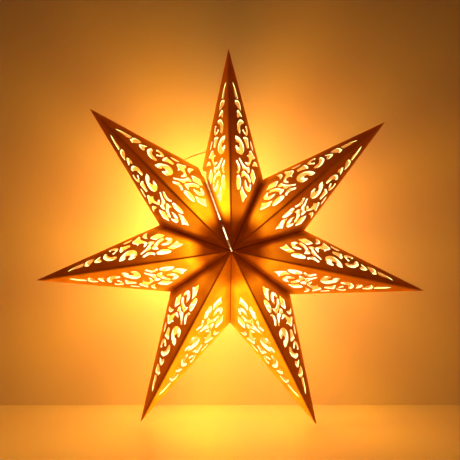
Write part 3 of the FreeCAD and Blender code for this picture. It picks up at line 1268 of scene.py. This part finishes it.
# The first of each two is the side of rising bearings. The lamp hangs nearer to
# some points than to others, so no two are quite alike.
PANEL_LIGHTS = {
    "top_point": (PanelLight(2.1, 0.2, 0.1, 0.8), PanelLight(0.85, 0.05, 0.15)),
    "upper_right_point": (PanelLight(1.4, 0.05, 0.15), PanelLight(1.05, 0.1, 0.15)),
    "right_point": (PanelLight(1.2, 0.1, 0.15), PanelLight(1.45, 0.45, 0.4, 0.9)),
    "lower_right_point": (PanelLight(1.65, 0.15, 0.25, 0.9), PanelLight(1.25, 1.15, 0.6, 0.3)),
    "lower_left_point": (PanelLight(0.15, 1.35, 0.6, 0.3), PanelLight(0.95, 0.3, 0.3, 0.9)),
    "left_point": (PanelLight(1.45, 0.65, 0.45, 0.9), PanelLight(1.65, 0.1, 0.2)),
    "upper_left_point": (PanelLight(0.85, 0.1, 0.15), PanelLight(1.65, 0.15, 0.15, 0.8)),
}
LIP_LIGHT = PanelLight(0.1, 0.05, 0.0, 0.0)


@dataclass
class FoldedStar:
    """The seven folded sheets of card."""

    string: StringRoute
    papers: list[Material]
    curve_steps: int = 4
    top_bite: tuple[Pair, ...] = ((-6.5, 5.0), (-1.0, -0.5))
    left_bite: tuple[Pair, ...] = ((-7.0, 2.9), (3.5, 4.1), (13.5, 4.1))
    panel_tree: PanelTree = field(default_factory=PanelTree)

    def valleys(self) -> dict[str, tuple[Valley, Valley]]:
        """Lay out the valleys; only the two at the seam have a gap and a bite.

        Returns:
            The two valleys of each point, that of the higher bearing first.
        """
        seam = {
            "bearing": STAR.seam_bearing,
            "notch_radius": STAR.seam_notch_radius,
            "half_gap": STAR.seam_gap / 2,
        }
        bearings = list(STAR.bearings.values())
        between = [(first + second) / 2 for first, second in zip(bearings, bearings[1:])]
        higher = [Valley(side=-1, bite=self.top_bite, **seam)]
        higher += [Valley(bearing, -1) for bearing in between]
        lower = [Valley(bearing, 1) for bearing in between]
        lower.append(Valley(side=1, bite=self.left_bite, **seam))
        return dict(zip(STAR.bearings, zip(higher, lower)))

    def outlines(self, panel: Panel, border: list[Vector], holes: list[list[Vector]]) -> Object:
        """Draw a panel's border, ornament and bores, in its own shares.

        Args:
            panel: the panel.
            border: corners of its border.
            holes: outlines of its bores.

        Returns:
            A flat curve object.
        """
        curve = bpy.data.curves.new("panel_outlines", "CURVE")
        curve.dimensions = "2D"
        curve.fill_mode = "NONE"
        curve.resolution_u = self.curve_steps
        outlines = [[(panel.flat(place), Turn.CORNER) for place in border]]
        outlines += [[(place, Turn.CORNER) for place in hole] for hole in holes]
        for knots in ORNAMENT.values():
            outlines.append([(Vector((knot.along, knot.across, 0)) / 100, knot.turn) for knot in knots])
        for knots in outlines:
            spline = curve.splines.new("BEZIER")
            spline.bezier_points.add(len(knots) - 1)
            spline.use_cyclic_u = True
            for point, (place, turn) in zip(spline.bezier_points, knots):
                point.co = place
                point.handle_left_type = turn.value
                point.handle_right_type = turn.value
        return add_object("panel_outlines", curve)

    def add_panel(self, sheet: Patchwork, panel: Panel, flat: Object, light: PanelLight) -> None:
        """Fill one panel's flat outlines and add it to its sheet.

        Args:
            sheet: the sheet so far.
            panel: the panel.
            flat: its outlines.
            light: the shares of light that it shows.
        """
        ridge, breadth = panel.axes()
        turned = ridge.cross(breadth).dot(panel.centre) < 0
        values = {
            "Tip": panel.tip,
            "Notch": panel.notch,
            "Centre": panel.centre,
            "Turned over": turned,
            "Light": light.colour(),
            "Paper": self.papers[0],
        }
        mesh = run_tree(flat, self.panel_tree.tree, values)
        sheet.add_mesh(mesh)
        bpy.data.meshes.remove(mesh)

    def add_lip(self, sheet: Patchwork, valley: Valley, start: Vector, end: Vector) -> None:
        """Add the lip that is turned in along one panel's edge of a valley.

        It ends square at the seam, past a narrow rim that runs on to the
        notch, and tapers to nothing at the notch of a glued valley.

        Args:
            sheet: the sheet so far.
            valley: the valley.
            start: inner end of the panel's edge.
            end: outer end of the panel's edge.
        """
        run = end - start
        length = math.hypot(run.x, run.z)
        outward = run / length
        slant = math.hypot(1, run.y / length)
        inward = Vector((0, -math.copysign(1, start.y), 0)) * slant
        width = inward * STAR.glue_lip
        if valley.bite:
            rim = inward * STAR.seam_rim
            stop = start + outward * (STAR.seam_lip_end - math.hypot(start.x, start.z))
            corners = [start, end, end + rim, stop + rim, stop + width, start + width]
        else:
            closing = outward * ((abs(start.y) - width.length) / abs(run.y / length))
            corners = [start, end, start + closing + width, start + width]
        sheet.add_face(corners, valley.spot(0, -1), LIP_LIGHT)

    def build_sheet(self, name: str) -> Object:
        """Fold one sheet.

        Args:
            name: the point that it makes.

        Returns:
            The finished piece.
        """
        bearing = STAR.bearings[name]
        tip = polar(STAR.tip_radius, bearing)
        sheet = Patchwork()
        for valley, light in zip(self.valleys()[name], PANEL_LIGHTS[name]):
            edge = valley.border(tip)
            eye = (polar(STAR.eye_radius, bearing) + edge[0]).normalized() * STAR.eye_radius
            border = [tip, polar(STAR.eye_radius, bearing), eye, *edge]
            for depth in (-STAR.apex_depth, STAR.apex_depth):
                panel = Panel(tip, valley.notch(), Vector((0, depth, 0)))
                holes = []
                if valley.bite and depth > 0:
                    start, outward = self.string.ends()[name]
                    radius = self.string.diameter / 2 + self.string.hole_clearance
                    holes = [panel.hole(start, outward, radius)]
                flat = self.outlines(panel, border, holes)
                self.add_panel(sheet, panel, flat, light)
                drop_object(flat)
                self.add_lip(sheet, valley, panel.laid(edge[0]), panel.laid(edge[1]))
        return self.thicken(name, sheet.mesh(name))

    def thicken(self, name: str, mesh: Mesh) -> Object:
        """Give a welded sheet its thickness and its three finishes.

        Args:
            name: the point that it makes.
            mesh: the sheet's outside.

        Returns:
            The finished piece, in the row frame.
        """
        thin = add_object("thin_sheet", mesh)
        for paper in self.papers:
            mesh.materials.append(paper)
        solid = thin.modifiers.new("thickness", "SOLIDIFY")
        solid.thickness = STAR.paper
        solid.offset = -1
        solid.use_even_offset = True
        solid.material_offset = 1
        solid.material_offset_rim = 2
        made = baked_mesh(thin)
        drop_object(thin)
        made.transform(STAR.to_row())
        made.name = name
        return add_object(f"{name}_card", made)

    def build(self) -> None:
        """Build every sheet and dress it."""
        for name in STAR.bearings:
            dress(self.build_sheet(name), "paper", name)


# ---- Turned parts, tubes and the lamp --------------------------------------
def smooth_mesh(name: str, places: list, faces: list[list[int]], smooth: list[bool]) -> Mesh:
    """Make a mesh from its corners and faces.

    Args:
        name: name of the mesh.
        places: places of its corners.
        faces: numbers of each face's corners.
        smooth: whether each face is shaded smooth.

    Returns:
        The mesh.
    """
    mesh = bpy.data.meshes.new(name)
    mesh.from_pydata(places, [], faces)
    mesh.polygons.foreach_set("use_smooth", smooth)
    return mesh


def lathe(name: str, profile: list[Pair], steps: int = 64) -> Mesh:
    """Closed mesh turned about Z.

    Args:
        name: name of the mesh.
        profile: radius and height of each ring; radius 0 closes a pole.
        steps: corners of each ring.

    Returns:
        The mesh, in the profile's own units.
    """
    places: list[Spot] = []
    rings: list[list[int]] = []
    for radius, height in profile:
        first = len(places)
        count = 1 if radius == 0 else steps
        for step in range(count):
            angle = math.tau * step / steps
            places.append((radius * math.cos(angle), radius * math.sin(angle), height))
        rings.append([first + step % count for step in range(steps)])
    faces = []
    closed = [*rings, rings[0]] if profile[0][0] and profile[-1][0] else rings
    for lower, upper in zip(closed, closed[1:]):
        for step in range(steps):
            after = (step + 1) % steps
            corners = [lower[step], lower[after], upper[after], upper[step]]
            faces.append(list(dict.fromkeys(corners)))
    return smooth_mesh(name, places, faces, [True] * len(faces))


def sweep(name: str, routes: list[Route], radius: float, closed: bool, sides: int = 10) -> Mesh:
    """Round tubes along routes.

    Args:
        name: name of the mesh.
        routes: each tube's middle line; its first corner lies in the direction across.
        radius: the tubes' radius, in the routes' own unit.
        closed: whether each tube runs into its own start.
        sides: corners of each section.

    Returns:
        The mesh, with its open tubes closed at both ends.
    """
    places: list[Vector] = []
    faces: list[list[int]] = []
    for route in routes:
        rings = []
        for index, (middle, outward) in enumerate(route):
            before = route[index - 1][0] if index or closed else middle
            after = route[(index + 1) % len(route)][0] if index + 1 < len(route) or closed else middle
            along = (after - before).normalized()
            side = (outward - along * outward.dot(along)).normalized()
            up = along.cross(side)
            rings.append([len(places) + step for step in range(sides)])
            for step in range(sides):
                angle = math.tau * step / sides
                places.append(middle + (side * math.cos(angle) + up * math.sin(angle)) * radius)
        for lower, upper in zip(rings, rings[1:] + rings[:1] if closed else rings[1:]):
            for step in range(sides):
                after_step = (step + 1) % sides
                faces.append([lower[step], lower[after_step], upper[after_step], upper[step]])
        if not closed:
            faces += [rings[0][::-1], rings[-1]]
    return smooth_mesh(name, places, faces, [len(face) == 4 for face in faces])


class RibTree:
    """Geometry Nodes tree that sets upright ribs round the Z axis."""

    def __init__(self) -> None:
        """Build the tree; its sizes are in millimetres."""
        self.tree, graph, given, result = new_tree(
            "grip_ribs",
            "GeometryNodeTree",
            {
                "Sleeve": ("NodeSocketGeometry", None),
                "Ribs": ("NodeSocketInt", 24),
                "Radius": ("NodeSocketFloat", 14.0),
                "Middle": ("NodeSocketFloat", 75.0),
                "Size": ("NodeSocketVector", (1.0, 1.2, 20.0)),
                "Material": ("NodeSocketMaterial", None),
            },
            {"Geometry": "NodeSocketGeometry"},
        )
        ring = graph.add("GeometryNodeMeshCircle", {"Vertices": given["Ribs"], "Radius": given["Radius"]})
        place = graph.add("ShaderNodeCombineXYZ", {"Z": given["Middle"]})
        shift = {"Geometry": ring.outputs[0], "Offset": place.outputs[0]}
        raised = graph.add("GeometryNodeSetPosition", shift)
        position = graph.add("GeometryNodeInputPosition").outputs[0]
        outward = graph.vector("MULTIPLY", position, (1.0, 1.0, 0.0))
        turn = graph.add("FunctionNodeAlignRotationToVector", {"Vector": outward}, axis="X")
        rib = graph.add("GeometryNodeMeshCube", {"Size": given["Size"]})
        instances = {"Points": raised.outputs[0], "Instance": rib.outputs[0], "Rotation": turn.outputs[0]}
        ribs = graph.add("GeometryNodeInstanceOnPoints", instances)
        both = graph.add("GeometryNodeJoinGeometry")
        graph.feed(both.inputs[0], given["Sleeve"])
        graph.feed(both.inputs[0], ribs.outputs[0])
        solid = graph.add("GeometryNodeRealizeInstances", {"Geometry": both.outputs[0]})
        painted = {"Geometry": solid.outputs[0], "Material": given["Material"]}
        graph.feed(result.inputs["Geometry"], graph.add("GeometryNodeSetMaterial", painted).outputs[0])


@dataclass(frozen=True)
class Thread:
    """Shallow round thread: its pitch, turns and depth, in millimetres."""

    pitch: float
    turns: int
    depth: float = 0.5
    crest: float = 0.3
    groove_start: float = 0.5
    groove_end: float = 0.8

    def profile(self, radius: float, low: float) -> list[Pair]:
        """Trace the thread's turns; the shares of the pitch give its shape.

        Args:
            radius: radius of its crests.
            low: height at which it starts.

        Returns:
            Radius and height of each corner, upwards.
        """
        profile = []
        root = radius - self.depth
        for turn in range(self.turns):
            start = low + turn * self.pitch
            profile += [(radius, start), (radius, start + self.crest * self.pitch)]
            profile.append((root, start + self.groove_start * self.pitch))
            profile.append((root, start + self.groove_end * self.pitch))
        return profile


@dataclass
class Lamp:
    """The bulb and its holder, on the seam's line inside the star.

    Heights are counted out from the star's centre along the seam.
    """

    plastic: Material
    brass: Material
    glass: Material

    holder_radius: float = 14.0
    holder_wall: float = 2.0
    mouth: float = 55.2
    mouth_bevel: float = 1.0
    mouth_round: float = 0.3
    rim_thread: Thread = Thread(pitch=2.4, turns=4)
    rim_thread_start: float = 2.0
    collar_height: float = 14.0
    collar_edge: float = 1.5
    grip_step: float = 0.5
    ribs: int = 32
    rib_width: float = 1.2
    rib_gaps: Pair = (1.0, 3.5)
    shoulder: float = 89.2
    shoulder_edge: Pair = (2.5, 0.1)
    socket_radius: float = 7.4
    socket_top: float = 77.2
    floor_top: float = 80.2

    top: float = 100.4
    cap_radius: float = 6.0
    inlet_radius: float = 4.0
    cap_foot: Pair = (0.02, 0.1)
    cap_grooves: Pair = (0.2, 0.4)
    groove_slope: float = 0.04
    groove_depth: float = 0.5
    cap_crown: tuple[Pair, ...] = ((0.95, 0.0), (0.99, 0.2), (1.0, 0.7))

    bulb_radius: float = 22.5
    bulb_drop: float = 26.0
    flare_start: int = 30
    latitude_step: int = 5
    neck_radius: float = 9.5
    neck_gap: float = 1.0
    neck_bevel: Pair = (0.8, 1.0)
    base_radius: float = 7.0
    base_thread: Thread = Thread(pitch=2.8, turns=6)
    base_thread_start: float = 2.0
    base_taper: float = 1.5
    base_top: float = 76.2
    base_end_radius: float = 3.0

    def middle(self) -> float:
        """Height of the bulb's middle along the seam."""
        return self.mouth - self.bulb_drop

    def spot(self) -> Vector:
        """Middle of the bulb in the row frame."""
        return STAR.to_row() @ STAR.seam_point(self.middle(), 0.0)

    def bulb(self) -> Object:
        """Turn the frosted bulb: globe, flare, neck and threaded base.

        Returns:
            The finished piece.
        """
        middle = self.middle()
        neck_top = self.mouth - self.neck_gap
        profile = [(0.0, middle - self.bulb_radius)]
        for latitude in range(self.latitude_step - 90, self.flare_start + 1, self.latitude_step):
            angle = math.radians(latitude)
            height = middle + self.bulb_radius * math.sin(angle)
            profile.append((self.bulb_radius * math.cos(angle), height))
        bevel_width, bevel_height = self.neck_bevel
        profile.append((self.neck_radius, neck_top - bevel_height))
        profile.append((self.neck_radius - bevel_width, neck_top))
        profile.append((self.base_radius, neck_top))
        profile += self.base_thread.profile(self.base_radius, neck_top + self.base_thread_start)
        profile.append((self.base_radius, self.base_top - self.base_taper))
        profile += [(self.base_end_radius, self.base_top), (0.0, self.base_top)]
        return self.place("bulb_glass", lathe("bulb", profile), self.glass)

    def body_profile(self, collar: float) -> list[Pair]:
        """Trace the sleeve, from the socket's top round the outside to its floor.

        Args:
            collar: height at which the threaded rim's collar ends.

        Returns:
            Radius and height of each corner.
        """
        radius = self.holder_radius
        grip = radius - self.grip_step
        bevel, rounded = self.mouth_bevel, self.mouth_round
        edge, softening = self.shoulder_edge
        inner = radius - self.holder_wall
        profile = [(0.0, self.socket_top), (self.socket_radius, self.socket_top)]
        profile += [(self.socket_radius, self.mouth), (radius - bevel, self.mouth)]
        profile += [(radius - rounded, self.mouth + rounded), (radius, self.mouth + bevel)]
        profile += self.rim_thread.profile(radius, self.mouth + self.rim_thread_start)
        profile += [(radius, collar - self.collar_edge), (radius, collar), (grip, collar + self.grip_step)]
        profile += [(grip, self.shoulder - edge - self.grip_step), (radius, self.shoulder - edge)]
        profile += [(radius, self.shoulder - softening), (radius - softening, self.shoulder)]
        profile += [(inner, self.shoulder), (inner, self.floor_top), (0.0, self.floor_top)]
        return profile

    def body(self) -> Object:
        """Turn the sleeve, with its socket and threaded rim, and add grip ribs.

        Returns:
            The finished piece.
        """
        collar = self.mouth + self.collar_height
        plain = add_object("plain_sleeve", lathe("sleeve", self.body_profile(collar)))
        below, above = self.rib_gaps
        low, high = collar + below, self.shoulder - above
        ribs = {
            "Ribs": self.ribs,
            "Radius": self.holder_radius - self.grip_step,
            "Middle": (low + high) / 2,
            "Size": (2 * self.grip_step, self.rib_width, high - low),
            "Material": self.plastic,
        }
        mesh = run_tree(plain, RibTree().tree, ribs)
        drop_object(plain)
        return self.place("holder_sleeve", mesh, self.plastic)

    def cone(self, share: float, depth: float = 0.0) -> Pair:
        """Find a corner of the cap's outline.

        Args:
            share: its share of the cap's rise.
            depth: how far inside the cone it lies.

        Returns:
            Its radius and height.
        """
        fall = self.holder_radius - self.cap_radius
        rise = self.top - self.shoulder
        return (self.holder_radius - fall * share - depth, self.shoulder + rise * share)

    def cap(self) -> Object:
        """Turn the hollow cone with the cord's inlet and two fine grooves.

        Returns:
            The finished piece.
        """
        foot, softening = self.cap_foot
        profile = [self.cone(0.0, softening), self.cone(foot)]
        for share in self.cap_grooves:
            for step, depth in enumerate((0.0, self.groove_depth, self.groove_depth, 0.0)):
                profile.append(self.cone(share + step * self.groove_slope, depth))
        profile += [self.cone(share, depth) for share, depth in self.cap_crown]
        profile.append((self.inlet_radius, self.top))
        profile.append((self.inlet_radius, self.top - self.holder_wall))
        profile.append((self.holder_radius - self.holder_wall, self.shoulder))
        return self.place("holder_cone", lathe("cone", profile), self.plastic)

    def place(self, name: str, mesh: Mesh, material: Material) -> Object:
        """Lay a turned part onto the seam's line, in the row frame.

        Args:
            name: the piece's name.
            mesh: the turned part, about Z and in millimetres.
            material: its only material.

        Returns:
            The piece.
        """
        mesh.transform(STAR.to_row() @ STAR.on_seam_line())
        mesh.materials.clear()
        mesh.materials.append(material)
        return add_object(name, mesh)

    def build(self, nodes: dict[str, Object]) -> None:
        """Build the lamp's pieces and dress them.

        Args:
            nodes: the frame's nodes, of which the contact is shown as it is.
        """
        dress(self.bulb(), "bulb_glass", "light_bulb")
        dress(self.body(), "holder_plastic", "lamp_holder_body")
        dress(self.cap(), "holder_plastic", "lamp_holder_cap")
        paint_nodes(nodes, ("lamp_contact",), self.brass)


# ---- The string and its knots ----------------------------------------------
@dataclass
class HangingString:
    """The short string behind the seam's notch, with a knot on each end."""

    route: StringRoute
    cotton: Material
    path_steps: int = 60

    def piece(self, name: str, routes: list[Route], radius: float, closed: bool) -> Object:
        """Make cotton tubes along routes about the star's centre.

        Args:
            name: the piece's name.
            routes: the tubes' routes.
            radius: their radius.
            closed: whether each runs into its own start.

        Returns:
            The piece, in the row frame.
        """
        mesh = sweep(name, routes, radius, closed)
        mesh.transform(STAR.to_row())
        mesh.materials.append(self.cotton)
        return add_object(name, mesh)

    def build(self) -> None:
        """Build the twisted string and its knots."""
        route = self.route
        string = self.piece("twisted_string", route.strand_routes(), route.strand_radius, closed=False)
        dress(string, "string", "hanging_string")
        knot_routes = [route.knot_route(end, outward) for end, outward in route.ends().values()]
        knots = self.piece("stopper_knots", knot_routes, route.knot_thickness, closed=True)
        dress(knots, "string", "string_knots")
        path = [STAR.to_row() @ place for place, _ in route.line(self.path_steps)]


# ---- The studio ------------------------------------------------------------
@dataclass(frozen=True)
class RoomGlow:
    """One share of the lamp's light on the floor and the backdrop.

    Place is counted from the lamp, and the paper shades the light unless it
    is unshaded.
    """

    energy: float
    colour: Spot
    place: Spot
    radius: float
    unshaded: bool = False


@dataclass
class Studio:
    """Floor, backdrop, lights and camera, in metres, degrees and watts."""

    floor: float
    wall: float = 0.116
    stage_half: float = 3.0
    floor_paint: Colour = (0.64, 0.60, 0.55, 1.0)
    floor_roughness: float = 0.25
    wall_paint: Colour = (0.80, 0.76, 0.70, 1.0)
    wall_roughness: float = 0.9

    camera_place: Spot = (0.0529, -1.2040, -0.0783)
    camera_tilt: float = -1.64
    camera_yaw: float = 0.10
    lens: float = 62.0
    sensor_width: float = 36.0

    dusk: Colour = (1.0, 0.33, 0.16, 1.0)
    dusk_strength: float = 0.015
    soft_power: float = 0.8
    soft_colour: Spot = (1.0, 0.42, 0.2)
    soft_size: float = 2.0
    soft_place: Spot = (-1.2, -1.8, 1.4)
    soft_aim: Spot = (0.05, 0.0, -0.14)
    glows: dict[str, RoomGlow] = field(
        default_factory=lambda: {
            "lamp_light": RoomGlow(10.8, (1.0, 0.28, 0.0), (-0.010, 0.0, -0.020), 0.03),
            "wall_glow": RoomGlow(1.8, (1.0, 0.9, 0.09), (-0.010, 0.060, -0.020), 0.05, True),
        }
    )

    def build_camera(self) -> None:
        """Camera in front of the star, a little above its middle."""
        data = bpy.data.cameras.new("camera")
        data.lens = self.lens
        data.sensor_width = self.sensor_width
        camera = add_object("camera", data)
        camera.location = self.camera_place
        camera.rotation_euler = (math.radians(90 + self.camera_tilt), 0, math.radians(-self.camera_yaw))
        bpy.context.scene.camera = camera

    def plane(self, name: str, corners: list[Spot], material: Material) -> None:
        """Add one flat face of the stage.

        Args:
            name: its name.
            corners: its four corners.
            material: its paint.
        """
        mesh = bpy.data.meshes.new(name)
        mesh.from_pydata(corners, [], [(0, 1, 2, 3)])
        mesh.materials.append(material)
        add_object(name, mesh)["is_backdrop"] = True

    def build_paint(self, name: str, colour: Colour, roughness: float) -> Material:
        """Mix pale paint that is clear from behind.

        Args:
            name: the material's name.
            colour: its colour.
            roughness: its roughness.

        Returns:
            The material.
        """
        material, graph = new_material(name)
        paint = graph.add("ShaderNodeBsdfPrincipled", {"Base Color": colour, "Roughness": roughness})
        clear = graph.add("ShaderNodeBsdfTransparent")
        behind = graph.add("ShaderNodeNewGeometry").outputs["Backfacing"]
        both = graph.add("ShaderNodeMixShader", {0: behind, 1: paint.outputs[0], 2: clear.outputs[0]})
        finish_material(graph, both.outputs[0])
        return material

    def build_stage(self) -> None:
        """Plain pale floor and backdrop."""
        half, low, wall = self.stage_half, self.floor, self.wall
        foot = [(-half, wall, low), (half, wall, low)]
        floor_paint = self.build_paint("pale_floor", self.floor_paint, self.floor_roughness)
        wall_paint = self.build_paint("pale_backdrop", self.wall_paint, self.wall_roughness)
        self.plane("floor", [(-half, -half, low), (half, -half, low), *foot[::-1]], floor_paint)
        self.plane("backdrop", [*foot, (half, wall, half), (-half, wall, half)], wall_paint)

    def build_dusk(self) -> None:
        """Faint warm light from all round."""
        world = bpy.data.worlds.new("studio")
        world.use_nodes = True
        background = world.node_tree.nodes["Background"]
        background.inputs["Color"].default_value = self.dusk
        background.inputs["Strength"].default_value = self.dusk_strength
        bpy.context.scene.world = world

    def build_glows(self, lamp: Vector) -> None:
        """Light the stage alone with the lamp's light.

        Args:
            lamp: place of the lamp.
        """
        stage = bpy.data.collections.new("lit_stage")
        for name in ("floor", "backdrop"):
            stage.objects.link(bpy.data.objects[name])
        for name, glow in self.glows.items():
            data = bpy.data.lights.new(name, "POINT")
            data.energy = glow.energy
            data.color = glow.colour
            data.shadow_soft_size = glow.radius
            light = add_object(name, data)
            light.location = lamp + Vector(glow.place)
            light.visible_camera = False
            light.light_linking.receiver_collection = stage
            if glow.unshaded:
                light.light_linking.blocker_collection = stage

    def build_soft_light(self) -> None:
        """Soft light from the front, on the upper left."""
        data = bpy.data.lights.new("soft_light", "AREA")
        data.energy = self.soft_power
        data.color = self.soft_colour
        data.shape = "DISK"
        data.size = self.soft_size
        light = add_object("soft_light", data)
        light.location = self.soft_place
        aim = Vector(self.soft_aim) - light.location
        light.rotation_euler = aim.to_track_quat("-Z", "Y").to_euler()

    def build(self, lamp: Vector) -> None:
        """Set up everything round the lantern.

        Args:
            lamp: place of the lamp.
        """
        self.build_camera()
        self.build_stage()
        self.build_dusk()
        self.build_glows(lamp)
        self.build_soft_light()
        bpy.context.scene.view_settings.view_transform = "Standard"


def main() -> None:
    """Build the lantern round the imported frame."""
    logging.basicConfig(level=logging.INFO, format="%(name)s: %(message)s")
    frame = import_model()
    cad_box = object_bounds()
    nodes = frame["nodes"]

    lamp = Lamp(HOLDER_PLASTIC.build(), CONTACT_BRASS.build(), FROSTED_GLASS.build())
    Studio(floor=cad_box[0].z).build(lamp.spot())
    route = StringRoute()
    HangingString(route, COTTON.build()).build()
    glow = LampGlowGroup(tuple(lamp.spot()), STAR.middle(), STAR.opening())
    paper = PaperFinish(GrainGroup().build(), glow.build())
    FoldedStar(route, [paper.build_outside(), paper.build_inside(), paper.build_edge()]).build()
    lamp.build(nodes)
    paint_nodes(nodes, ("hook_tabs", "loop_tabs"), WOVEN_TAPE.build())


if __name__ == "__main__":
    main()
